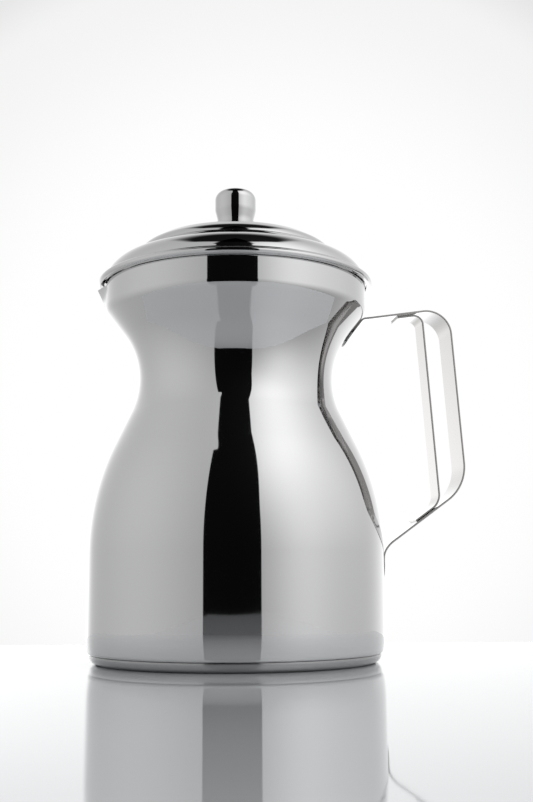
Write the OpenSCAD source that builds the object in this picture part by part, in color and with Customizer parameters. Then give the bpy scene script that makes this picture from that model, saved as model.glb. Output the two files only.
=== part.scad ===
// Stovetop coffee pot: a waisted pot with a pressed pouring lip, a capsule base,
// a double strap handle and a stepped lift-off lid with a turned knob.
// Millimetres. The origin is the centre of the base on the hob, +Z is up,
// +X points along the handle and the pouring lip points along -X.

/* [Pot] */
// Outside diameter of the belly
belly_d = 151.2; // [140:0.2:165]
// Outside diameter of the belly just above the base
foot_d = 150.4; // [140:0.2:165]
// Outside diameter of the waist
waist_d = 101.5; // [90:0.5:112]
// Height of the waist
waist_z = 143; // [136:1:150]
// Outside diameter of the neck below the rim
neck_d = 137.2; // [132:0.2:140]
// Height of the rim
rim_z = 193; // [191:0.5:200]
// Outside diameter of the turned-out rim
rim_d = 140; // [139:0.2:142]
// Thickness of the pot sheet
sheet = 1.0; // [0.7:0.1:1.2]
// Radius of the shoulder curve
shoulder_r = 124; // [100:1:130]
// Lean of the straight below the waist, in degrees
shoulder_lean = 26; // [22:0.5:28]
// Radius of the waist curve
waist_r = 39; // [30:1:45]
// Lean of the straight above the waist, in degrees
flare_lean = 35; // [30:0.5:38]
// Radius where the flare turns up into the neck
neck_r = 5; // [3:0.5:8]
// Radius of the bottom edge
bottom_r = 4.2; // [3:0.1:5]

/* [Pouring lip] */
// Reach of the lip's tip from the pot's axis
lip_reach = 72.8; // [71.5:0.1:75]
// Half the angle that the lip spans at the rim, in degrees
lip_half_angle = 12.5; // [9:0.5:16]
// Height of the lip down the neck
lip_h = 10.7; // [7:0.1:11]
// Drop of the tip below the rim
lip_drop = 1.9; // [1:0.1:3]

/* [Base] */
// Diameter of the base cap
cap_d = 146.8; // [140:0.2:148]
// Height of the capsule base
cap_h = 4.6; // [4:0.1:6]
// Thickness of the cap sheet
cap_t = 0.6; // [0.4:0.1:0.8]
// Radius of the cap's bottom edge
cap_r = 4.2; // [3:0.1:4.4]

/* [Lid] */
// Diameter of the lid
lid_d = 144.6; // [143.6:0.2:148]
// Thickness of the lid sheet
lid_t = 0.8; // [0.6:0.1:0.9]
// Height of the rolled lid edge
lid_edge_h = 2.6; // [2.4:0.1:3]
// Gap between the pot's rim and the lid
seat_gap = 0.3; // [0.3:0.1:0.4]
// Diameter at the foot of the lower tier
lower_foot_d = 139; // [138:0.2:141]
// Diameter of the lower tier's lower shoulder corner
lower_d = 132.8; // [131:0.2:134]
// Height of the lower tier's lower shoulder corner above the rim
lower_h = 9.2; // [8:0.1:10]
// Radius at the lower tier's lower shoulder corner
lower_r = 10.4; // [6:0.2:12]
// Diameter of the lower tier's upper shoulder corner
lower_top_d = 124.6; // [123:0.2:126]
// Height of the lower tier's upper shoulder corner above the rim
lower_top_h = 12.7; // [12:0.1:13.4]
// Radius at the lower tier's upper shoulder corner
lower_top_r = 6.6; // [4:0.2:9]
// Diameter at the foot of the upper tier
upper_foot_d = 103.6; // [102:0.2:105]
// Height of the upper tier's foot above the rim
upper_foot_h = 16.5; // [16:0.1:17]
// Diameter of the upper tier's shoulder corner
upper_d = 100.2; // [99:0.2:102]
// Height of the upper tier's shoulder corner above the rim
upper_h = 20.3; // [19.6:0.1:21]
// Radius of the upper tier's shoulder
upper_r = 8; // [4:0.2:9]
// Diameter of the dome's corner
dome_d = 88; // [86:0.2:90]
// Height of the dome's corner above the rim
dome_h = 24.3; // [23.6:0.1:25]
// Radius of the dome
dome_r = 20.4; // [12:0.2:22]
// Height of the crown above the rim
crown_h = 31.7; // [31:0.1:34]
// Outside diameter of the locating ring
ring_d = 133.6; // [131:0.2:134]
// Depth of the locating ring below the rim
ring_depth = 7.5; // [4:0.5:9]

/* [Knob] */
// Diameter of the knob
knob_d = 22; // [18:0.1:26]
// Height of the knob
knob_h = 23.1; // [18:0.1:26]
// Diameter of the knob's foot
knob_foot_d = 19.3; // [15:0.1:20]
// Height of the knob's widest line above its foot
knob_flare_h = 11.3; // [9:0.1:13]
// Radius of the knob's top edge
knob_edge_r = 5.3; // [2:0.1:6]
// Diameter of the knob screw
screw_d = 5; // [4:0.5:6]

/* [Handle] */
// Thickness of the strap
strap_t = 1.0; // [0.8:0.1:1.4]
// Width of the outer strap
outer_w = 21.6; // [18:0.2:24]
// Width of the grip strap
grip_w = 14.4; // [12:0.2:18]
// Reach of the handle's top corner from the pot's axis
top_reach = 113.6; // [105:0.2:125]
// Height of the handle's top corner
top_z = 184; // [180:0.5:188]
// Reach of the handle's bottom corner from the pot's axis
bottom_reach = 120.2; // [110:0.2:130]
// Height of the handle's bottom corner
bottom_z = 88.7; // [84:0.1:94]
// Height where the upper arm meets the pot
upper_root_z = 177; // [174:0.5:179]
// Height where the lower arm meets the pot
lower_root_z = 56.8; // [54:0.1:60]
// Distance between the two straps, from middle to middle
strap_spacing = 14; // [12:0.5:18]
// Bend radius at the handle's top corner
top_bend_r = 13; // [8:0.5:16]
// Bend radius at the handle's bottom corner
bottom_bend_r = 22; // [14:0.5:24]
// Bend radius where the lower arm turns down the wall
root_bend_r = 12; // [8:0.5:14]
// Bend radius at the top of the grip strap
grip_top_bend_r = 4.8; // [3:0.1:8]
// Bend radius at the bottom of the grip strap
grip_bottom_bend_r = 9; // [5:0.5:12]
// Length that the grip strap overlaps the upper arm
upper_lap_l = 13.6; // [10:0.1:16]
// Length that the grip strap overlaps the lower arm
lower_lap_l = 16.2; // [10:0.1:18]
// Height of the upper tongue's tip
upper_tip_z = 164; // [160:0.5:168]
// Height of the lower tongue's tip
lower_tip_z = 40; // [34:0.5:44]
// Length of each tongue's rounded end
tongue_round_l = 9.5; // [6:0.5:10]

/* [Hidden] */
$fn = 96;
eps = 0.01;
arc_step = 5;

steel = [0.78, 0.79, 0.80];
brushed = [0.70, 0.71, 0.72];
aluminium = [0.62, 0.63, 0.65];

// ---- Outlines with rounded corners: each corner is [x, y, radius] ----
function xy(p) = [p[0], p[1]];
function unit(v) = v / norm(v);
function turn(u, v) = sign(u[0] * v[1] - u[1] * v[0]);
function left(v) = [-v[1], v[0]];
function side_dir(c, i) = unit(xy(c[i + 1]) - xy(c[i]));

// Where the line through p along u meets the line through q along v
function meet(p, u, q, v) =
  let (d = u[0] * v[1] - u[1] * v[0], w = q - p)
  p + u * (w[0] * v[1] - w[1] * v[0]) / d;

// The arc that rounds corner i of the outline c
function corner_arc(c, i) =
  let (
    u = side_dir(c, i - 1),
    v = side_dir(c, i),
    way = turn(u, v),
    swing = acos(max(-1, min(1, u * v))),
    r = c[i][2],
    start = xy(c[i]) - u * r * tan(swing / 2),
    centre = start + left(u) * r * way,
    from = start - centre,
    steps = max(1, ceil(swing / arc_step))
  )
  r == 0 || way == 0
    ? [xy(c[i])]
    : [for (k = [0:steps])
        let (a = way * swing * k / steps)
        centre + [from[0] * cos(a) - from[1] * sin(a), from[0] * sin(a) + from[1] * cos(a)]];

// The outline with every inner corner rounded
function rounded(c) = [
  xy(c[0]),
  for (i = [1:len(c) - 2]) each corner_arc(c, i),
  xy(c[len(c) - 1])
];

// The outline moved t to the left of its direction, with its radii fitted
function moved(c, t) = [
  for (i = [0:len(c) - 1])
    let (
      u = side_dir(c, max(0, i - 1)),
      v = side_dir(c, min(len(c) - 2, i)),
      nu = left(u),
      nv = left(v),
      p = xy(c[i]) + (nu + nv) * t / (1 + nu * nv),
      r = c[i][2] == 0 ? 0 : max(0.05, c[i][2] - t * turn(u, v))
    )
    [p[0], p[1], r]
];

// A sheet of thickness t that lies to the left of the outline c
function sheet_outline(c, t) =
  let (
    far = rounded(moved(c, t)),
    near = rounded(c)
  )
  concat(near, [for (i = [len(far) - 1:-1:0]) far[i]]);

module turned(outline) {
  rotate_extrude()
    polygon(outline);
}

// ---- Pot ----
pot_bottom_z = cap_h;
// The neck leans out this much up to the rim's bend
neck_lean = 0.1;
rim_bend_r = 0.4;
// The waist curve's centre, and its ends on the two straights
waist_centre_r = waist_d / 2 + waist_r;
low_end = [waist_centre_r - waist_r * cos(shoulder_lean), waist_z - waist_r * sin(shoulder_lean)];
high_end = [waist_centre_r - waist_r * cos(flare_lean), waist_z + waist_r * sin(flare_lean)];
// The corners where the straights, extended, meet each other, the belly and the neck
waist_corner = meet(low_end, [-sin(shoulder_lean), cos(shoulder_lean)],
                    high_end, [sin(flare_lean), cos(flare_lean)]);
shoulder_corner_z = low_end[1] - (belly_d / 2 - low_end[0]) / tan(shoulder_lean);
neck_corner_z = high_end[1] + (neck_d / 2 - high_end[0]) / tan(flare_lean);
rim_turn_z = rim_z - sheet;

pot_outline = [
  [0, pot_bottom_z, 0],
  [foot_d / 2, pot_bottom_z, bottom_r],
  [belly_d / 2, shoulder_corner_z, shoulder_r],
  [waist_corner[0], waist_corner[1], waist_r],
  [neck_d / 2, neck_corner_z, neck_r],
  [neck_d / 2 + neck_lean, rim_turn_z, rim_bend_r],
  [rim_d / 2, rim_turn_z, 0],
];

// The part of the outline below the turned-out rim
wall_run = [for (i = [0:5]) pot_outline[i]];

// The pressed lip: a wedge that stands out from the neck, widest at the rim
// Its top corners lie just inside the rim's edge, and its back lies inside the wall
lip_corner_inset = 0.6;
lip_corner_drop = 0.1;
lip_keel_sink = 0.4;
lip_back_sink = 3;
lip_corner_r = rim_d / 2 - lip_corner_inset;
lip_corner_z = rim_z - lip_corner_drop;
lip_keel_r = neck_d / 2 - lip_keel_sink;
lip_back_r = neck_d / 2 - lip_back_sink;
lip_half_w = lip_corner_r * sin(lip_half_angle);
lip_corner_x = -lip_corner_r * cos(lip_half_angle);
// Moved this way, the wedge leaves one sheet's thickness on both flanks and opens the top
lip_hollow_shift = [0.9, 0, 0.55] * sheet;

module lip_wedge() {
  polyhedron(
    points = [
      [-lip_reach, 0, rim_z - lip_drop],
      [-lip_keel_r, 0, rim_z - lip_h],
      [lip_corner_x, -lip_half_w, lip_corner_z],
      [lip_corner_x, lip_half_w, lip_corner_z],
      [-lip_back_r, 0, rim_z - lip_h],
      [-lip_back_r, -lip_half_w, lip_corner_z],
      [-lip_back_r, lip_half_w, lip_corner_z],
    ],
    faces = [[0, 2, 1], [0, 1, 3], [0, 3, 2], [2, 3, 6], [2, 6, 5], [1, 2, 5], [1, 5, 4],
             [1, 4, 6], [1, 6, 3], [4, 5, 6]]
  );
}

// Opens the wall and the rim above the falling edges of the lip
module lip_notch() {
  past_tip = 1;
  translate([-lip_reach - past_tip, 0, rim_z])
    rotate([0, -90, 180])
      linear_extrude(height = lip_reach + past_tip - lip_back_r)
        polygon([[eps, -lip_half_w], [eps, lip_half_w], [-lip_drop, 0]]);
}

// Fills the neck up to the middle of its wall
module neck_core() {
  margin = 1;
  translate([0, 0, rim_z - lip_h - margin])
    cylinder(h = lip_h + 2 * margin, r = neck_d / 2 - sheet / 2);
}

module pot_body() {
  color(steel)
  difference() {
    union() {
      turned(sheet_outline(pot_outline, sheet));
      difference() {
        lip_wedge();
        neck_core();
      }
    }
    translate(lip_hollow_shift)
      lip_wedge();
    lip_notch();
  }
}

// ---- Capsule base ----
cap_outline = [
  [0, 0, 0],
  [cap_d / 2, 0, cap_r],
  [cap_d / 2, cap_h, 0],
];

module base_cap() {
  color(steel)
  turned(sheet_outline(cap_outline, cap_t));
}

module heat_disc() {
  inside = moved(cap_outline, cap_t);
  color(aluminium)
  turned(concat([[0, cap_h]], rounded([for (c = inside) [c[0], min(c[1], cap_h), c[2]]])));
}

// ---- Handle ----
// The band of radii that holds the strap's tongues
tongue_start_r = 40;
tongue_reach = 50;
// The outer strap's centre line, as [reach, height, bend radius]
root_r_top = wall_r(upper_root_z) + strap_t / 2;
// The strap's ends sink this far into the wall, and the wall's shape is cut out of them
root_sink = 1;
arm_sink = 4;
root_r_low = belly_d / 2 + strap_t / 2 - root_sink;
arm_start_r = root_r_top - arm_sink;
// The lower arm runs this far down the wall before the tongue takes over
root_run = 6;
outer_line = [
  [arm_start_r, arm_z(arm_start_r), 0],
  [top_reach, top_z, top_bend_r],
  [bottom_reach, bottom_z, bottom_bend_r],
  [root_r_low, lower_root_z, root_bend_r],
  [root_r_low, lower_root_z - root_run, 0],
];

// The height of the upper arm's centre line at a reach
function arm_z(r) = upper_root_z + (r - root_r_top) * (top_z - upper_root_z) / (top_reach - root_r_top);

// The outside radius of the pot on the flare between the waist and the neck
function wall_r(z) = high_end[0] + (z - high_end[1]) * tan(flare_lean);

// The directions of the outer strap's three straights, from the top root to the bottom one
top_corner = [top_reach, top_z];
bottom_corner = [bottom_reach, bottom_z];
arm_up = unit(top_corner - [root_r_top, upper_root_z]);
grip_down = unit(bottom_corner - top_corner);
arm_low = unit([root_r_low, lower_root_z] - bottom_corner);

// The grip strap's three straights are the outer strap's, moved inwards (to the right)
grip_point = top_corner - left(grip_down) * strap_spacing;
grip_top = meet(top_corner - left(arm_up) * strap_t, arm_up, grip_point, grip_down);
grip_bottom = meet(grip_point, grip_down, bottom_corner - left(arm_low) * strap_t, arm_low);
lap_up_end = grip_top - arm_up * upper_lap_l;
lap_low_end = grip_bottom + arm_low * lower_lap_l;
grip_line = [
  [lap_up_end[0], lap_up_end[1], 0],
  [grip_top[0], grip_top[1], grip_top_bend_r],
  [grip_bottom[0], grip_bottom[1], grip_bottom_bend_r],
  [lap_low_end[0], lap_low_end[1], 0],
];

// A strap of width w along a centre line in the handle's plane
module strap(line, w) {
  rotate([90, 0, 0])
    translate([0, 0, -w / 2])
      linear_extrude(height = w)
        polygon(sheet_outline(moved(line, -strap_t / 2), strap_t));
}

// A tongue's outline on the wall: straight sides that end in a half ellipse at z_tip
function tongue_outline(w, z_root, z_tip) = concat(
  [[w / 2, z_root], [-w / 2, z_root]],
  [for (a = [180:7.5:360]) [w / 2 * cos(a), z_tip + tongue_round_l * (1 + sin(a))]]
);

// The tongue's outline carried through the wall along +X
module tongue_prism(w, z_root, z_tip) {
  translate([tongue_start_r, 0, 0])
    rotate([90, 0, 90])
      linear_extrude(height = tongue_reach)
        polygon(tongue_outline(w, z_root, z_tip));
}

// The pot's outer side as one solid, grown outwards by t
module pot_envelope(t) {
  side = rounded(moved(wall_run, -t));
  turned(concat(side, [[0, side[len(side) - 1][1]]]));
}

module outer_strap() {
  color(brushed)
  difference() {
    union() {
      strap(outer_line, outer_w);
      intersection() {
        pot_envelope(strap_t);
        union() {
          tongue_prism(outer_w, upper_root_z, upper_tip_z);
          tongue_prism(outer_w, lower_root_z, lower_tip_z);
        }
      }
    }
    pot_envelope(0);
  }
}

module grip_strap() {
  color(brushed)
  strap(grip_line, grip_w);
}

// ---- Lid ----
lid_low_z = rim_z + seat_gap;
lid_high_z = lid_low_z + lid_edge_h;
crown_z = rim_z + crown_h;
// The lid's edge turns in under itself, over the pot's rim
hem_lap = 1.8;
hem_r = 1.2;
ledge_rise = 0.1;
ledge_r = 0.4;
valley_r = 0.9;
// The flat seat reaches this far past the knob's foot
seat_margin = 6;
seat_blend_r = 5;
hole_play = 0.4;
lid_outline = [
  [rim_d / 2 - hem_lap, lid_low_z, 0],
  [lid_d / 2, lid_low_z, hem_r],
  [lid_d / 2, lid_high_z, hem_r],
  [lower_foot_d / 2, lid_high_z + ledge_rise, ledge_r],
  [lower_d / 2, rim_z + lower_h, lower_r],
  [lower_top_d / 2, rim_z + lower_top_h, lower_top_r],
  [upper_foot_d / 2, rim_z + upper_foot_h, valley_r],
  [upper_d / 2, rim_z + upper_h, upper_r],
  [dome_d / 2, rim_z + dome_h, dome_r],
  [knob_foot_d / 2 + seat_margin, crown_z, seat_blend_r],
  [0, crown_z, 0],
];

module lid_shell() {
  color(steel)
  difference() {
    turned(sheet_outline(lid_outline, lid_t));
    translate([0, 0, crown_z - 2 * lid_t])
      cylinder(h = 3 * lid_t, d = screw_d + hole_play);
  }
}

// An L-section ring whose flange is caught in the lid's turned-in edge
ring_t = 0.8;
flange_t = 0.7;
flange_play = 0.3;

module lid_ring() {
  flange_z = lid_low_z + lid_t;
  flange_r = lid_d / 2 - lid_t - flange_play;
  inner_r = ring_d / 2 - ring_t;
  color(steel)
  turned([
    [inner_r, rim_z - ring_depth],
    [ring_d / 2, rim_z - ring_depth],
    [ring_d / 2, flange_z],
    [flange_r, flange_z],
    [flange_r, flange_z + flange_t],
    [inner_r, flange_z + flange_t],
  ]);
}

// ---- Knob ----
foot_edge_r = 0.4;
// The knob narrows from its widest line to its foot over this height
flare_drop = 4;
flare_r = 3;
tap_depth = 12;
knob_outline = [
  [0, crown_z, 0],
  [knob_foot_d / 2, crown_z, foot_edge_r],
  [knob_foot_d / 2, crown_z + knob_flare_h - flare_drop, flare_r],
  [knob_d / 2, crown_z + knob_flare_h, flare_r],
  [knob_d / 2, crown_z + knob_h, knob_edge_r],
  [0, crown_z + knob_h, 0],
];

module knob() {
  color(steel)
  difference() {
    turned(rounded(knob_outline));
    translate([0, 0, crown_z - eps])
      cylinder(h = tap_depth + eps, d = screw_d);
  }
}

washer_t = 1.0;
washer_d = 14;
screw_head_h = 2.6;
screw_head_d = 9;
screw_head_r = 1.4;
recess_l = 4.8;
recess_w = 0.9;
recess_depth = 1.6;
// The screw stops this far short of the end of its tapped hole
screw_short = 1.5;
under_crown_z = crown_z - lid_t;

module knob_washer() {
  color(aluminium)
  translate([0, 0, under_crown_z - washer_t])
    difference() {
      cylinder(h = washer_t, d = washer_d);
      translate([0, 0, -eps])
        cylinder(h = washer_t + 2 * eps, d = screw_d + hole_play);
    }
}

// A pan-head screw with a cross recess, driven up into the knob
module knob_screw() {
  head_z = under_crown_z - washer_t - screw_head_h;
  shank_z = head_z + screw_head_h - eps;
  color(aluminium)
  difference() {
    union() {
      turned(rounded([
        [0, head_z, 0],
        [screw_head_d / 2, head_z, screw_head_r],
        [screw_head_d / 2, head_z + screw_head_h, 0],
        [0, head_z + screw_head_h, 0],
      ]));
      translate([0, 0, shank_z])
        cylinder(h = crown_z + tap_depth - screw_short - shank_z, d = screw_d);
    }
    for (a = [0, 90])
      rotate([0, 0, a])
        translate([-recess_l / 2, -recess_w / 2, head_z - eps])
          cube([recess_l, recess_w, recess_depth + eps]);
  }
}

pot_body();
heat_disc();
base_cap();
outer_strap();
grip_strap();
lid_shell();
lid_ring();
knob();
knob_screw();
knob_washer();
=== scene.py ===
"""A stovetop coffee pot in polished steel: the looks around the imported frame.

Sizes are in millimetres until a mesh is made, in the frame's own axes: the pot stands on
z = 0, the handle points along +X and the pouring lip along -X.
"""

import bpy
import numpy as np
from mathutils import Matrix


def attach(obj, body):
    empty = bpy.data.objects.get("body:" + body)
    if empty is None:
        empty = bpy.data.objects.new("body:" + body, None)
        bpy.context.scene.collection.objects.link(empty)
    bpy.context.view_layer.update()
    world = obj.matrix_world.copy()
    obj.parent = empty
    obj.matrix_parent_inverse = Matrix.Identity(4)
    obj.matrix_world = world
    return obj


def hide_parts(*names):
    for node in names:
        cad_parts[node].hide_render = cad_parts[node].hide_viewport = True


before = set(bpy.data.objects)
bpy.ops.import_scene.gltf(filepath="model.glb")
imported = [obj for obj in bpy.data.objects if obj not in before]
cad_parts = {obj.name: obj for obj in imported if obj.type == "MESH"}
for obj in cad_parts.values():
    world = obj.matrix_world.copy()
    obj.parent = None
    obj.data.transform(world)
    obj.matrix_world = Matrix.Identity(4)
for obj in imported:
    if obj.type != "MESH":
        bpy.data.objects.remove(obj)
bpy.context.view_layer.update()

MM = 0.001
# The widest step along an arc, and the number of steps round a turned piece
ARC_STEP = np.radians(1.5)
ROUND_STEPS = 240
# Points closer than this are one point
TINY = 1e-4
# The step in mm, or in radians, over which a surface's direction is measured
NORMAL_STEP = 1e-3
# Keeps a division by a length of zero finite
NOT_ZERO = 1e-12

# ---------------------------------------------------------------- sizes that pieces share
# The pot's outside, upward from the base
CAP_H = 4.6
BOTTOM_CURVE = 2.0
FOOT_R = 74.2
FOOT_LEAN_H = 7.4
FOOT_CURVE = 66.0
LOW_R = 75.4
BELLY_R = 75.6
SHOULDER_CURVE = 124.0
SHOULDER_LEAN = np.radians(26.0)
WAIST_R = 50.75
WAIST_Z = 143.0
WAIST_CURVE = 39.0
FLARE_LEAN = np.radians(38.0)
NECK_CURVE = 6.0
NECK_R = 68.6
RIM_R = 68.7
RIM_Z = 193.0
# The lid's crown, where the knob stands
CROWN_Z = 224.7
# Thicknesses
SHEET = 1.0
CAP_T = 0.6
LID_T = 0.8
STRAP_T = 1.0


# ---------------------------------------------------------------- outlines
def unit(v):
    """v at a length of 1."""
    return v / np.linalg.norm(v)


def left(v):
    """v turned a quarter to its left."""
    return np.array([-v[1], v[0]])


def cross2(u, v):
    return u[0] * v[1] - u[1] * v[0]


def meet(p, u, q, v):
    """Where the line through p along u meets the line through q along v."""
    p, u, q, v = (np.asarray(a, float) for a in (p, u, q, v))
    return p + u * cross2(q - p, v) / cross2(u, v)


def moved(corners, t):
    """The outline of [x, y, radius] corners moved t to the left, with its radii fitted."""
    c = np.asarray(corners, float)
    out = []
    last = len(c) - 1
    for i in range(len(c)):
        a = max(0, i - 1)
        b = min(last - 1, i)
        u = unit(c[a + 1, :2] - c[a, :2])
        v = unit(c[b + 1, :2] - c[b, :2])
        nu, nv = left(u), left(v)
        p = c[i, :2] + (nu + nv) * t / (1 + nu @ nv)
        r = c[i, 2]
        if r:
            r = max(0.05, r - t * np.sign(cross2(u, v)))
        out.append([p[0], p[1], r])
    return out


def traced(corners, step=ARC_STEP, longest=None):
    """Points and unit tangents along an outline whose inner corners are rounded."""
    c = np.asarray(corners, float)
    runs = []
    start = c[0, :2]
    u = unit(c[1, :2] - c[0, :2])
    for i in range(1, len(c) - 1):
        v = unit(c[i + 1, :2] - c[i, :2])
        swing = np.arccos(np.clip(u @ v, -1, 1))
        way = np.sign(cross2(u, v))
        r = c[i, 2]
        begin = c[i, :2] - u * r * np.tan(swing / 2)
        runs.append((start, begin, u))
        centre = begin + left(u) * r * way
        n = max(2, int(np.ceil(swing / step)))
        arc = []
        for k in range(n + 1):
            a = way * swing * k / n
            turn = np.array([[np.cos(a), -np.sin(a)], [np.sin(a), np.cos(a)]])
            arc.append((centre + turn @ (begin - centre), turn @ u))
        runs.append(arc)
        start = arc[-1][0]
        u = v
    runs.append((start, c[-1, :2], u))
    points, tangents = [], []

    def add(p, t):
        if not points or np.linalg.norm(p - points[-1]) > TINY:
            points.append(p)
            tangents.append(t)

    for run in runs:
        if isinstance(run, tuple):
            a, b, t = run
            n = 1
            if longest:
                n = max(1, int(np.ceil(np.linalg.norm(b - a) / longest)))
            for k in range(n + 1):
                add(a + (b - a) * k / n, t)
        else:
            for p, t in run:
                add(p, t)
    return np.array(points), np.array(tangents)


def smooth(x):
    """0 below 0, 1 above 1, and a smooth step between."""
    x = np.clip(x, 0, 1)
    return x * x * (3 - 2 * x)


# ---------------------------------------------------------------- meshes
def make_object(name, verts, faces, normals, material):
    """A smooth mesh in metres, with the exact normals of the surface it follows."""
    mesh = bpy.data.meshes.new(name)
    mesh.from_pydata((np.asarray(verts) * MM).tolist(), [], faces)
    mesh.polygons.foreach_set("use_smooth", np.ones(len(mesh.polygons), bool))
    mesh.update()
    mesh.normals_split_custom_set_from_vertices([tuple(n) for n in normals])
    obj = bpy.data.objects.new(name, mesh)
    bpy.context.scene.collection.objects.link(obj)
    obj.data.materials.append(material)
    return obj


def around(points, angles, shape):
    """Places outline points (r, z) at the angles; the result is [point, angle, xyz]."""
    r = points[:, 0][:, None]
    z = points[:, 1][:, None] + 0 * angles[None, :]
    x = r * np.cos(angles)[None, :]
    y = r * np.sin(angles)[None, :]
    x, y, z = shape(x, y, z)
    return np.stack([x, y, z], axis=-1)


def plain(x, y, z):
    """The shape of a round piece, which moves nothing."""
    return x, y, z


def full_turn(count):
    """Angles all round, evenly spaced."""
    return np.linspace(0, 2 * np.pi, count, endpoint=False)


def turned_piece(name, outline, material, angles, shape=plain, longest=None):
    """Turns an outline about the axis; its outer side lies to the right of its direction."""
    points, tangents = traced(outline, longest=longest)
    place = around(points, angles, shape)
    h = NORMAL_STEP
    along = around(points + tangents * h, angles, shape) - around(points - tangents * h, angles, shape)
    # A ring at the axis has no width, so its direction round is taken from a small circle
    wide = points.copy()
    wide[:, 0] = np.maximum(wide[:, 0], 0.5)
    round_ = around(wide, angles + h, shape) - around(wide, angles - h, shape)
    normal = np.cross(round_, along)
    normal /= np.linalg.norm(normal, axis=-1, keepdims=True)
    rows, turns = place.shape[:2]
    verts, normals, index = [], [], []
    for i in range(rows):
        if points[i, 0] < TINY:
            index.append([len(verts)] * turns)
            verts.append(place[i, 0])
            normals.append(unit(normal[i].sum(axis=0)))
        else:
            index.append(list(range(len(verts), len(verts) + turns)))
            verts.extend(place[i])
            normals.extend(normal[i])
    faces = []
    for i in range(rows - 1):
        low, high = index[i], index[i + 1]
        for j in range(turns):
            k = (j + 1) % turns
            quad = [low[j], low[k], high[k], high[j]]
            faces.append(list(dict.fromkeys(quad)))
    return make_object(name, verts, faces, normals, material)


def sheet_loop(corners, t, edge):
    """Both sides of a sheet t thick, left of its outline, which starts on the axis; edge rounds its rim."""
    near = [list(c) for c in corners]
    far = [list(c) for c in moved(corners, t)]
    near[-1][2] = edge
    far[-1][2] = edge
    return near + far[::-1]


# ---------------------------------------------------------------- materials
def nodes_of(name):
    """A new material, its node tree and its shader."""
    material = bpy.data.materials.new(name)
    material.use_nodes = True
    tree = material.node_tree
    return material, tree, tree.nodes["Principled BSDF"]


def node(tree, kind, **settings):
    """A new node with its settings."""
    n = tree.nodes.new(kind)
    for key, value in settings.items():
        setattr(n, key, value)
    return n


def math(tree, operation, a, b=None, c=None, clamp=False):
    """The result of a math node; a, b and c are numbers or other nodes' outputs."""
    n = node(tree, "ShaderNodeMath", operation=operation, use_clamp=clamp)
    for socket, value in zip(n.inputs, (a, b, c)):
        if value is None:
            continue
        if isinstance(value, (int, float)):
            socket.default_value = value
        else:
            tree.links.new(value, socket)
    return n.outputs[0]


def polished_steel(name, tint, low, high):
    """Mirror steel: a base tone, and roughness that wanders a little between low and high."""
    material, tree, bsdf = nodes_of(name)
    bsdf.inputs["Metallic"].default_value = 1.0
    bsdf.inputs["Base Color"].default_value = (*tint, 1)
    where = node(tree, "ShaderNodeTexCoord")
    haze = node(tree, "ShaderNodeTexNoise")
    haze.inputs["Scale"].default_value = 38
    haze.inputs["Detail"].default_value = 4
    tree.links.new(where.outputs["Object"], haze.inputs["Vector"])
    spread = node(tree, "ShaderNodeMapRange")
    spread.inputs["From Min"].default_value = 0.3
    spread.inputs["From Max"].default_value = 0.7
    spread.inputs["To Min"].default_value = low
    spread.inputs["To Max"].default_value = high
    tree.links.new(haze.outputs["Fac"], spread.inputs["Value"])
    tree.links.new(spread.outputs["Result"], bsdf.inputs["Roughness"])
    return material


def paint_shade_inside(material, shade_tone, lit_tone):
    """Paints shade as a darker tone on the faces toward the pot and on the cut edges, and gives all a thin
    clear coat.
    """
    tree = material.node_tree
    apart = node(tree, "ShaderNodeSeparateXYZ")
    tree.links.new(node(tree, "ShaderNodeNewGeometry").outputs["Normal"], apart.inputs[0])
    # away is 0 on the faces toward the pot, and edge is 1 on the edges cut along the strap
    away = math(tree, "MULTIPLY_ADD", apart.outputs["X"], 2.5, 2.25, clamp=True)
    edge = math(tree, "MULTIPLY_ADD", math(tree, "ABSOLUTE", apart.outputs["Y"]), 2.5, -1.0, clamp=True)
    # polished is 1 where the steel keeps its own bright tone, and 0 where painted shade darkens it
    polished = math(tree, "MULTIPLY", away, math(tree, "SUBTRACT", 1.0, edge))
    tone = node(tree, "ShaderNodeMix", data_type="RGBA")
    tone.inputs["A"].default_value = (*shade_tone, 1)
    tone.inputs["B"].default_value = (*lit_tone, 1)
    tree.links.new(polished, tone.inputs["Factor"])
    bsdf = tree.nodes["Principled BSDF"]
    tree.links.new(tone.outputs["Result"], bsdf.inputs["Base Color"])
    bsdf.inputs["Coat Weight"].default_value = 1.0
    bsdf.inputs["Coat IOR"].default_value = 1.6
    bsdf.inputs["Coat Roughness"].default_value = 0.05


STEEL = polished_steel("polished_steel", (0.70, 0.70, 0.705), 0.02, 0.045)
# The base cap's darker tone is painted shade: it stands in for the shadowed table beside the pot that the
# cap reflects
SHADED_CAP_STEEL = polished_steel("cap_steel_painted_shade", (0.45, 0.45, 0.455), 0.10, 0.16)
STRAP_STEEL = polished_steel("strap_steel", (0.70, 0.70, 0.70), 0.05, 0.09)
# The straps get painted shade: a darker tone on their faces toward the pot and on their cut edges
paint_shade_inside(STRAP_STEEL, (0.42, 0.41, 0.40), (0.74, 0.74, 0.74))
SATIN = polished_steel("satin_steel", (0.62, 0.62, 0.62), 0.25, 0.32)
ALUMINIUM = polished_steel("disc_aluminium", (0.75, 0.75, 0.76), 0.3, 0.4)


# ---------------------------------------------------------------- pot
def on_waist(angle):
    """The point of the waist's curve at that angle above its narrowest height."""
    centre_r = WAIST_R + WAIST_CURVE
    return np.array([centre_r - WAIST_CURVE * np.cos(angle), WAIST_Z + WAIST_CURVE * np.sin(angle)])


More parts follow.
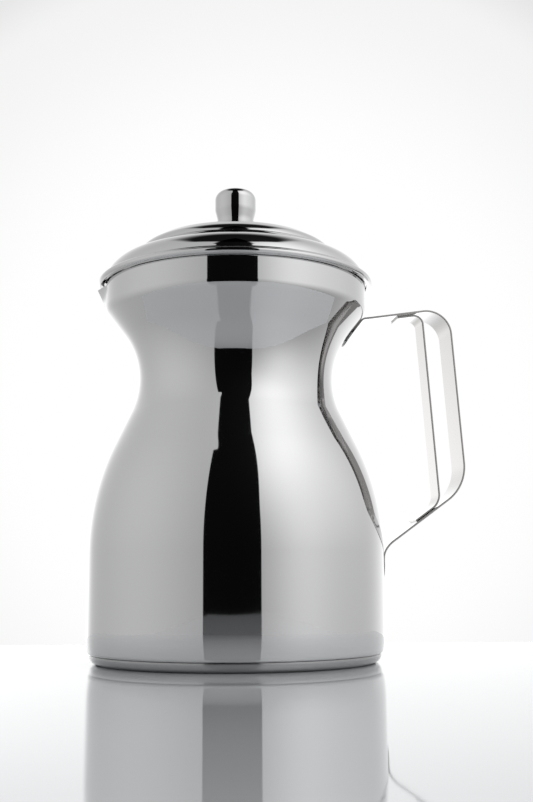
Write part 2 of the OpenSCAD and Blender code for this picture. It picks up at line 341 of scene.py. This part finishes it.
def pot_corners():
    """The outside of the wall as [radius, height, curve], from the axis up to the rim."""
    low = on_waist(-SHOULDER_LEAN)
    high = on_waist(FLARE_LEAN)
    rise = [-np.sin(SHOULDER_LEAN), np.cos(SHOULDER_LEAN)]
    flare = [np.sin(FLARE_LEAN), np.cos(FLARE_LEAN)]
    waist = meet(low, rise, high, flare)
    shoulder_z = low[1] - (BELLY_R - low[0]) / np.tan(SHOULDER_LEAN)
    neck_z = high[1] + (NECK_R - high[0]) / np.tan(FLARE_LEAN)
    return [
        [0, CAP_H, 0],
        [FOOT_R, CAP_H, BOTTOM_CURVE],
        [LOW_R, CAP_H + FOOT_LEAN_H, FOOT_CURVE],
        [BELLY_R, shoulder_z, SHOULDER_CURVE],
        [waist[0], waist[1], WAIST_CURVE],
        [NECK_R, neck_z, NECK_CURVE],
        [RIM_R, RIM_Z, 0],
    ]


# The pressed lip: how far its wedge leans out, its half width, its foot line, and its rim's drop
LIP_REACH = 4.1
LIP_HALF_W = 11.5
LIP_FOOT_Z = 182.3
LIP_FOOT_RISE = 0.376
LIP_DROP = 2.1
LIP_DROP_HALF_W = 13.8
LIP_DROP_RUN = 4.0
LIP_SOFT = 0.25


def soft_ramp(x, k):
    """x where it is positive, nothing where it isn't, and a short curve between."""
    return (x + np.sqrt(x * x + k * k)) / 2 - k / 2


def lip_shape(x, y, z):
    """Presses the lip out of the neck: the wall leans out and its rim falls."""
    r = np.hypot(x, y)
    angle = np.arctan2(y, -x)
    side = np.abs(r * np.sin(angle))
    # Nothing moves outside this stretch of the neck
    front = (np.cos(angle) > 0.9) & (side < LIP_DROP_HALF_W + 4) & (z > LIP_FOOT_Z - 3)
    # The wedge leans out from its foot line to the rim
    foot = LIP_FOOT_Z + LIP_FOOT_RISE * np.minimum(side, LIP_HALF_W)
    up = soft_ramp((z - foot) / (RIM_Z - foot), 0.03)
    out = LIP_REACH * soft_ramp(1 - side / LIP_HALF_W, LIP_SOFT / LIP_HALF_W) * up
    fall = LIP_DROP * smooth((LIP_DROP_HALF_W - side) / LIP_DROP_RUN) * up
    new_r = np.where(front, r + out, r)
    new_z = np.where(front, z - fall, z)
    return -new_r * np.cos(angle), new_r * np.sin(angle), new_z


def lip_angles():
    """The angles round the pot, closer together across the lip."""
    coarse = np.radians(np.arange(-164, 164.1, 1.5))
    fine = np.radians(np.arange(164.4, 195.7, 0.4))
    return np.concatenate([coarse, fine])


SHEET_EDGE = 0.3
pot = turned_piece("pot_body_polished", sheet_loop(pot_corners(), SHEET, SHEET_EDGE), STEEL,
                   angles=lip_angles(), shape=lip_shape, longest=6)
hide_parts("pot_body")
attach(pot, "pot")

# ---------------------------------------------------------------- base cap
CAP_R = 73.4
CAP_CURVE = 4.2
CAP_EDGE = 0.2
cap_corners = [[0, 0, 0], [CAP_R, 0, CAP_CURVE], [CAP_R, CAP_H, 0]]
cap = turned_piece("base_cap_polished", sheet_loop(cap_corners, CAP_T, CAP_EDGE), SHADED_CAP_STEEL,
                   angles=full_turn(ROUND_STEPS))
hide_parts("base_cap")
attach(cap, "pot")

# ---------------------------------------------------------------- lid
LID_R = 72.3
HEM_INNER_R = 69.3
HEM_LOW_Z = RIM_Z - 0.15


def tiers(*steps):
    """Corners [radius, height, curve] from [radius, height above the rim, curve]."""
    return [[r, RIM_Z + h, curve] for r, h, curve in steps]


# The lid's outside, from under the hem up over both tiers to the axis
lid_corners = [
    [HEM_INNER_R, HEM_LOW_Z, 0],
    [LID_R, HEM_LOW_Z, 1.5],
    *tiers(
        [LID_R, 2.42, 1.6],
        [68.92, 4.0, 1.0],
        [66.34, 10.7, 16.4],
        [52.08, 17.25, 0.7],
        [50.75, 20.2, 8.1],
        [43.9, 24.5, 20.0],
    ),
    [15.7, CROWN_Z, 5],
    [0, CROWN_Z, 0],
]


def lid_loop():
    """Both sides of the lid: from the axis down its inside to the hem, and back over its outside."""
    near = [list(c) for c in lid_corners]
    far = [list(c) for c in moved(lid_corners, LID_T)]
    near[0][2] = SHEET_EDGE
    far[0][2] = SHEET_EDGE
    return far[::-1] + near


lid = turned_piece("lid_polished", lid_loop(), STEEL, angles=full_turn(ROUND_STEPS))
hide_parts("lid_shell")
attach(lid, "lid")

# ---------------------------------------------------------------- knob
KNOB_FOOT_R = 9.65
KNOB_FOOT_CURVE = 0.4
KNOB_R = 11.0
KNOB_FLARE_Z = 231.4
KNOB_WIDE_Z = 236.6
KNOB_FLARE_CURVE = 8
KNOB_TOP_Z = 247.8
KNOB_TOP_CURVE = 5.3
knob_corners = [
    [0, CROWN_Z, 0],
    [KNOB_FOOT_R, CROWN_Z, KNOB_FOOT_CURVE],
    [KNOB_FOOT_R, KNOB_FLARE_Z, KNOB_FLARE_CURVE],
    [KNOB_R, KNOB_WIDE_Z, KNOB_FLARE_CURVE],
    [KNOB_R, KNOB_TOP_Z, KNOB_TOP_CURVE],
    [0, KNOB_TOP_Z, 0],
]
knob = turned_piece("knob_polished", knob_corners, STEEL, angles=full_turn(ROUND_STEPS // 2))
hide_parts("knob")
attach(knob, "lid")

# ---------------------------------------------------------------- handle straps
OUTER_W = 21.6
GRIP_W = 14.4
# The outer strap's corners [x, z], where its arms meet the wall, and where its tongues end
TOP = np.array([113.6, 184.0])
BOTTOM = np.array([120.2, 88.7])
UPPER_ROOT_Z = 177.0
LOWER_ROOT_Z = 56.8
UPPER_TIP_Z = 164.0
LOWER_TIP_Z = 40.0
# How long each tongue follows the round wall, and how soon its arm is flat after that
UPPER_TONGUE = 14.5
UPPER_LEAVES = 7
LOWER_TONGUE = 13
LOWER_LEAVES = 10
# The length of a tongue's rounded tip
TONGUE_END = 9.5
# The grip strap: its distance inside the outer strap, and its laps on both arms
STRAP_SPACING = 14.0
UPPER_LAP = 13.6
LOWER_LAP = 16.2
# The radius of the straps' cut edges, and its angles from the upper face to the middle
STRAP_EDGE = 0.28
EDGE_TURNS = np.radians([60, 30, 0])
pot_wall, _ = traced(pot_corners())


def wall_r(z):
    """The pot's outside radius at height z."""
    rows = pot_wall[1:]
    order = np.argsort(rows[:, 1])
    return np.interp(z, rows[order, 1], rows[order, 0])


def wall_point(z):
    """The middle of a strap that lies on the wall at height z."""
    slope = wall_r(z + 0.5) - wall_r(z - 0.5)
    out = unit(np.array([1.0, -slope]))
    return np.array([wall_r(z), z]) + out * STRAP_T / 2


def edge_profile():
    """One cut edge, downward, as rows of [inset, height, normal out, normal up]."""
    flat = STRAP_T / 2 - STRAP_EDGE
    rows = []
    for level, turns in ((flat, EDGE_TURNS), (-flat, -EDGE_TURNS[::-1])):
        for a in turns:
            rows.append([STRAP_EDGE * (1 - np.cos(a)), level + STRAP_EDGE * np.sin(a), np.cos(a), np.sin(a)])
    return rows


def section():
    """One loop round the strap: rows of [side share, inset, height, normal out, normal up]."""
    shares = np.linspace(-1, 1, 9)
    loop = [[f, STRAP_EDGE, STRAP_T / 2, 0, 1] for f in shares]
    loop += [[1, e, n, c, s] for e, n, c, s in edge_profile()]
    loop += [[f, STRAP_EDGE, -STRAP_T / 2, 0, -1] for f in shares[::-1]]
    loop += [[-1, e, n, c, s] for e, n, c, s in edge_profile()[::-1]]
    return np.array(loop)


def strap_piece(name, line, half_w, ends, conform, material):
    """A bent strap: a flat outline with rounded edges, bent along a centre line.

    ends gives the length of the half-ellipse at the start and the end, or 0 for a square cut.
    conform(s, length) is how far the strap follows the round wall at that distance along it.
    """
    points, tangents = traced(line, np.radians(2.5), 1.5)
    gaps = np.linalg.norm(np.diff(points, axis=0), axis=1)
    station = np.concatenate([[0], np.cumsum(gaps)])
    length = station[-1]

    def bent(flat):
        """Takes flat strap coordinates [along, across, up] to the frame."""
        s, y, n = flat[:, 0], flat[:, 1], flat[:, 2]
        x = np.interp(s, station, points[:, 0])
        z = np.interp(s, station, points[:, 1])
        tx = np.interp(s, station, tangents[:, 0])
        tz = np.interp(s, station, tangents[:, 1])
        size = np.hypot(tx, tz)
        beyond = s - np.clip(s, 0, length)
        x = x + (beyond * tx - n * tz) / size
        z = z + (beyond * tz + n * tx) / size
        r = np.maximum(x, 40)
        return np.stack([x - conform(s, length) * (r - np.sqrt(r * r - y * y)), y, z], axis=-1)

    base = section()
    share, inset, height, n_out, n_up = base.T
    loops, normals = [], []

    def add(s, y, n, ns, ny, nn):
        loops.append(np.stack(np.broadcast_arrays(s, y, n), axis=-1).astype(float))
        normals.append(np.stack(np.broadcast_arrays(ns, ny, nn), axis=-1).astype(float))

    def end_rows(at, run, toward):
        """One end's rows, from its tip to the full section; toward is -1 or 1 along the strap."""
        if run:
            for a in np.radians(np.linspace(90, 0, 17)):
                out_s = toward * np.sin(a) / (run - inset)
                out_y = share * np.cos(a) / (half_w - inset)
                size = np.hypot(out_s, out_y) + NOT_ZERO
                yield (at - toward * run + toward * (run - inset) * np.sin(a),
                       share * (half_w - inset) * np.cos(a), height,
                       n_out * out_s / size, n_out * out_y / size, n_up)
        else:
            for a in np.radians([90, 60, 30, 0]):
                cut = STRAP_EDGE * (1 - np.cos(a))
                yield (at - toward * STRAP_EDGE * (1 - np.sin(a)),
                       share * (half_w - inset - cut), height * (1 - cut / (STRAP_T / 2)),
                       toward * np.sin(a) + 0 * share, n_out * share * np.cos(a), n_up * np.cos(a))

    for row in end_rows(0.0, ends[0], -1):
        add(*row)
    first = ends[0] or STRAP_EDGE
    last = length - (ends[1] or STRAP_EDGE)
    for s in station[(station > first + 0.2) & (station < last - 0.2)]:
        add(s, share * (half_w - inset), height, 0, n_out * share, n_up)
    for row in reversed(list(end_rows(length, ends[1], 1))):
        add(*row)

    flat = np.concatenate(loops)
    local = np.concatenate(normals)
    place = bent(flat)
    h = NORMAL_STEP
    steps = [(bent(flat + d) - bent(flat - d)) / (2 * h) for d in np.eye(3) * h]
    # A normal turns with the cross products of the other two directions
    turned = (np.cross(steps[1], steps[2]) * local[:, :1] + np.cross(steps[2], steps[0]) * local[:, 1:2]
              + np.cross(steps[0], steps[1]) * local[:, 2:])
    turned /= np.linalg.norm(turned, axis=1, keepdims=True) + NOT_ZERO
    handed = np.sign(np.einsum("ij,ij->i", np.cross(steps[0], steps[1]), steps[2])).mean()
    turned *= handed

    # Points that fall together, as at a tip, become one
    keep, index, verts, vert_normals = {}, [], [], []
    for p, n in zip(place, turned):
        key = tuple(np.round(p, 3))
        if key not in keep:
            keep[key] = len(verts)
            verts.append(p)
            vert_normals.append(n)
        index.append(keep[key])
    per = len(base)
    faces = []
    for i in range(len(loops) - 1):
        for j in range(per):
            k = (j + 1) % per
            low, high = i * per, (i + 1) * per
            quad = [index[low + j], index[low + k], index[high + k], index[high + j]]
            quad = list(dict.fromkeys(quad))
            if len(quad) > 2:
                faces.append(quad[::-1] if handed > 0 else quad)
    for at, flip in ((0, False), (len(loops) - 1, True)):
        ring = list(dict.fromkeys(index[at * per:(at + 1) * per]))
        if len(ring) > 16:
            faces.append(ring if flip != (handed > 0) else ring[::-1])
    return make_object(name, verts, faces, vert_normals, material)


def upper_root():
    """Where the middle of the upper arm, carried on straight, meets the wall."""
    return np.array([wall_r(UPPER_ROOT_Z) + STRAP_T / 2, UPPER_ROOT_Z])


def outer_line():
    """The outer strap's centre line as [x, z, bend radius], from its upper tongue to its lower one."""
    tip = wall_point(UPPER_TIP_Z)
    root = wall_point(UPPER_ROOT_Z)
    corner = meet(tip, unit(root - tip), TOP, unit(TOP - upper_root()))
    low_tip = wall_point(LOWER_TIP_Z)
    low_wall = wall_point(LOWER_ROOT_Z)
    return [
        [tip[0], tip[1], 0],
        [corner[0], corner[1], 2.2],
        [TOP[0], TOP[1], 13],
        [BOTTOM[0], BOTTOM[1], 22],
        [low_wall[0], low_wall[1], 12],
        [low_tip[0], low_tip[1], 0],
    ]


def grip_line():
    """The grip strap's centre line, lapped under the upper arm and over the lower one."""
    low_wall = wall_point(LOWER_ROOT_Z)
    arm_up = unit(TOP - upper_root())
    down = unit(BOTTOM - TOP)
    arm_low = unit(low_wall - BOTTOM)
    inner = TOP - left(down) * STRAP_SPACING
    top = meet(TOP - left(arm_up) * STRAP_T, arm_up, inner, down)
    bottom = meet(inner, down, BOTTOM - left(arm_low) * STRAP_T, arm_low)
    start = top - arm_up * UPPER_LAP
    end = bottom + arm_low * LOWER_LAP
    return [[*start, 0], [*top, 4.8], [*bottom, 9], [*end, 0]]


def follow_wall(s, length):
    """1 on the tongues, falling to 0 where the arms leave the wall."""
    upper = 1 - smooth((s - UPPER_TONGUE) / UPPER_LEAVES)
    lower = 1 - smooth((length - s - LOWER_TONGUE) / LOWER_LEAVES)
    return np.maximum(upper, lower)


def follow_nothing(s, length):
    """0 all along: the grip strap lies on flat arms."""
    return 0 * s


outer = strap_piece("outer_strap_bent", outer_line(), OUTER_W / 2, (TONGUE_END, TONGUE_END),
                    follow_wall, STRAP_STEEL)
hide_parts("outer_strap")
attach(outer, "pot")
grip = strap_piece("grip_strap_bent", grip_line(), GRIP_W / 2, (0, 0), follow_nothing, STRAP_STEEL)
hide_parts("grip_strap")
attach(grip, "pot")

# ---------------------------------------------------------------- carried-over nodes
for cad_name, cad_material in (("heat_disc", ALUMINIUM), ("lid_ring", STEEL),
                               ("knob_screw", SATIN), ("knob_washer", SATIN)):
    cad_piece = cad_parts[cad_name]
    cad_piece.data.materials.clear()
    cad_piece.data.materials.append(cad_material)

# ---------------------------------------------------------------- camera
# How far the camera stands round the pot, from straight in front of its -Y side
HANDLE_TURN = np.radians(6.0)
CAMERA_BACK = 577.25
CAMERA_HIGH = 42.56
CAMERA_PITCH = np.radians(8.948)
CAMERA_YAW = np.radians(1.606)
CAMERA_ROLL = -0.0052


def around_pot(x, y, z):
    """The frame's place of a point given from the camera's side: x to the right, y away from it."""
    c, d = np.cos(HANDLE_TURN), np.sin(HANDLE_TURN)
    return np.array([x * c + y * d, -x * d + y * c, z])


heading = CAMERA_YAW + HANDLE_TURN
flat_way = np.array([np.sin(heading), np.cos(heading), 0])
sight = np.cos(CAMERA_PITCH) * flat_way + np.array([0, 0, np.sin(CAMERA_PITCH)])
level = np.array([np.cos(heading), -np.sin(heading), 0])
upright = np.cross(level, sight)
right = np.cos(CAMERA_ROLL) * level + np.sin(CAMERA_ROLL) * upright
up = -np.sin(CAMERA_ROLL) * level + np.cos(CAMERA_ROLL) * upright
spot = around_pot(0, -CAMERA_BACK, CAMERA_HIGH) * MM
camera_data = bpy.data.cameras.new("camera")
camera_data.lens = 50
camera_data.sensor_fit = "VERTICAL"
camera_data.sensor_height = 36
camera = bpy.data.objects.new("camera", camera_data)
columns = np.stack([right, up, -sight, spot], axis=1)
camera.matrix_world = Matrix([*columns.tolist(), (0, 0, 0, 1)])
bpy.context.scene.collection.objects.link(camera)
bpy.context.scene.camera = camera

# ---------------------------------------------------------------- table
TABLE_BACK = 152
TABLE_T = 8
# The table's outline, anticlockwise from its back left corner, as around_pot takes it
TABLE_PLAN = [(-300, TABLE_BACK), (-285, -40), (-335, -260), (-330, -520), (-240, -715), (0, -730),
              (240, -745), (375, -620), (415, -340), (330, -30), (305, TABLE_BACK)]


def table_material():
    material, _, bsdf = nodes_of("white_gloss")
    bsdf.inputs["Base Color"].default_value = (0.83, 0.85, 0.87, 1)
    bsdf.inputs["Metallic"].default_value = 0.16
    bsdf.inputs["Roughness"].default_value = 0.04
    bsdf.inputs["IOR"].default_value = 1.5
    return material


def table_top():
    """A flat slab with its upper face at z = 0."""
    count = len(TABLE_PLAN)
    verts = [around_pot(x, y, z) * MM for z in (-TABLE_T, 0) for x, y in TABLE_PLAN]
    faces = [tuple(range(count))[::-1], tuple(range(count, 2 * count))]
    for i in range(count):
        j = (i + 1) % count
        faces.append((i, j, j + count, i + count))
    mesh = bpy.data.meshes.new("table")
    mesh.from_pydata([tuple(v) for v in verts], [], faces)
    mesh.materials.append(table_material())
    obj = bpy.data.objects.new("table", mesh)
    bpy.context.scene.collection.objects.link(obj)
    return obj


table = table_top()

# ---------------------------------------------------------------- studio
# The light of the room, even all round, and soft round lights: azimuth, elevation, width, strength
ROOM_LIGHT = 0.26
SOFT_LIGHTS = [
    (35, 40, 18, 0.39),
    (62, 57, 18, 0.44),
    (50, 5, 20, 0.34),
    (90, 30, 30, 0.47),
    (120, 10, 30, 0.12),
    (146, -14, 15, 0.35),
    (172, -14, 11, 0.4),
    (180, 8, 24, 0.82),
    (-158, 1, 8, 0.5),
    (-80, 20, 50, 0.42),
]
# The hole in the ceiling, half its width and half its depth for a ceiling 1 above the table
HOLE_HALF_W = 0.39
HOLE_HALF_D = 0.47
# How much of the light the gap between the screens and the hole take away
GAP_DARK = 0.993
HOLE_DARK = 0.985
# The middle of the painted pool of light on the backdrop that the camera sees
BACKDROP_AIM = (178.4, 8.95)

world = bpy.data.worlds.new("studio")
bpy.context.scene.world = world
world.use_nodes = True
sky = world.node_tree
sky.nodes.clear()
direction = node(sky, "ShaderNodeTexCoord").outputs["Generated"]


def aim(azimuth, elevation):
    """A direction: azimuth in degrees, from the camera's side round to the right, and elevation."""
    a, e = np.radians(azimuth), np.radians(elevation)
    return around_pot(np.sin(a) * np.cos(e), -np.cos(a) * np.cos(e), np.sin(e))


def dot(vector):
    n = node(sky, "ShaderNodeVectorMath", operation="DOT_PRODUCT")
    sky.links.new(direction, n.inputs[0])
    n.inputs[1].default_value = tuple(vector)
    return n.outputs["Value"]


def plus(a, b):
    return math(sky, "ADD", a, b)


def minus(a, b):
    return math(sky, "SUBTRACT", a, b)


def times(a, b):
    return math(sky, "MULTIPLY", a, b)


def over(a, b):
    return math(sky, "DIVIDE", a, b)


def degrees(value):
    return times(value, float(np.degrees(1)))


def ramp(value, start, end, low=0.0, high=1.0):
    """low before start, high after end, and a smooth step between."""
    n = node(sky, "ShaderNodeMapRange", interpolation_type="SMOOTHSTEP", clamp=True)
    sky.links.new(value, n.inputs["Value"])
    for key, number in (("From Min", start), ("From Max", end), ("To Min", low), ("To Max", high)):
        n.inputs[key].default_value = number
    return n.outputs["Result"]


def glow(azimuth, elevation, width, strength):
    """A round soft light: width is the angle in degrees at which it falls to 0.6 of its strength."""
    sharp = 1 / np.radians(width) ** 2
    away = minus(dot(aim(azimuth, elevation)), 1.0)
    return times(math(sky, "EXPONENT", times(away, float(sharp))), float(strength))


def gap_between_screens(azimuth, height):
    """1 in the dark gap between the two white screens, which widens above their top edge."""
    left_edge = plus(ramp(height, 48.6, 49.8, -24.0, -19.5), ramp(height, 50, 62, 0, -5.5))
    left_edge = plus(left_edge, ramp(height, 60, 65, 0, -6))
    right_edge = plus(ramp(height, 18, 50, 18.8, 21.2), ramp(height, 60, 65, 0, 4.5))
    blur = ramp(height, 59, 63, 0.2, 4)
    past_left = over(minus(azimuth, left_edge), blur)
    past_right = over(minus(right_edge, azimuth), blur)
    return times(ramp(past_left, -1, 1), ramp(past_right, -1, 1))


def ceiling_hole(rightward, toward, upward):
    """1 in the dark hole in the ceiling, with a near edge and ends that are crisper than its far side."""
    ceiling_height = math(sky, "MAXIMUM", upward, 0.01)
    across = over(over(rightward, ceiling_height), HOLE_HALF_W)
    along = over(over(toward, ceiling_height), HOLE_HALF_D)
    from_middle = math(sky, "SQRT", plus(times(across, across), times(along, along)))
    near_edge = plus(along, times(times(across, across), 0.6))
    hole = times(ramp(from_middle, 0.85, 1.9, 1, 0), ramp(near_edge, 0.60, 0.85, 1, 0))
    return times(hole, ramp(math(sky, "ABSOLUTE", across), 0.9, 1.15, 1, 0))


def studio_light():
    """What the steel and the table show: the room, its lights, the dark gap and the dark hole."""
    light = ROOM_LIGHT
    for soft_light in SOFT_LIGHTS:
        light = plus(glow(*soft_light), light)
    toward = dot(aim(0, 0))
    rightward = dot(aim(90, 0))
    upward = dot((0, 0, 1))
    azimuth = degrees(math(sky, "ARCTAN2", rightward, toward))
    height = degrees(math(sky, "ARCSINE", upward))
    gap = gap_between_screens(azimuth, height)
    hole = ceiling_hole(rightward, toward, upward)
    return times(light, times(minus(1.0, times(gap, GAP_DARK)), minus(1.0, times(hole, HOLE_DARK))))


def backdrop():
    """What the camera sees behind the pot: white, with a painted pool of light that falls off to slightly
    darker corners.
    """
    from_middle = degrees(math(sky, "ARCCOSINE", dot(aim(*BACKDROP_AIM))))
    return minus(ramp(from_middle, 12, 22, 1.0, 0.9), ramp(from_middle, 21, 24, 0.0, 0.12))


path = node(sky, "ShaderNodeLightPath")
seen = node(sky, "ShaderNodeMix", data_type="FLOAT")
sky.links.new(path.outputs["Is Camera Ray"], seen.inputs["Factor"])
sky.links.new(studio_light(), seen.inputs["A"])
sky.links.new(backdrop(), seen.inputs["B"])
shade = node(sky, "ShaderNodeBackground")
shade.inputs["Color"].default_value = (1, 1, 1, 1)
sky.links.new(seen.outputs["Result"], shade.inputs["Strength"])
sky.links.new(shade.outputs["Background"], node(sky, "ShaderNodeOutputWorld").inputs["Surface"])

bpy.context.scene.view_settings.view_transform = "Standard"
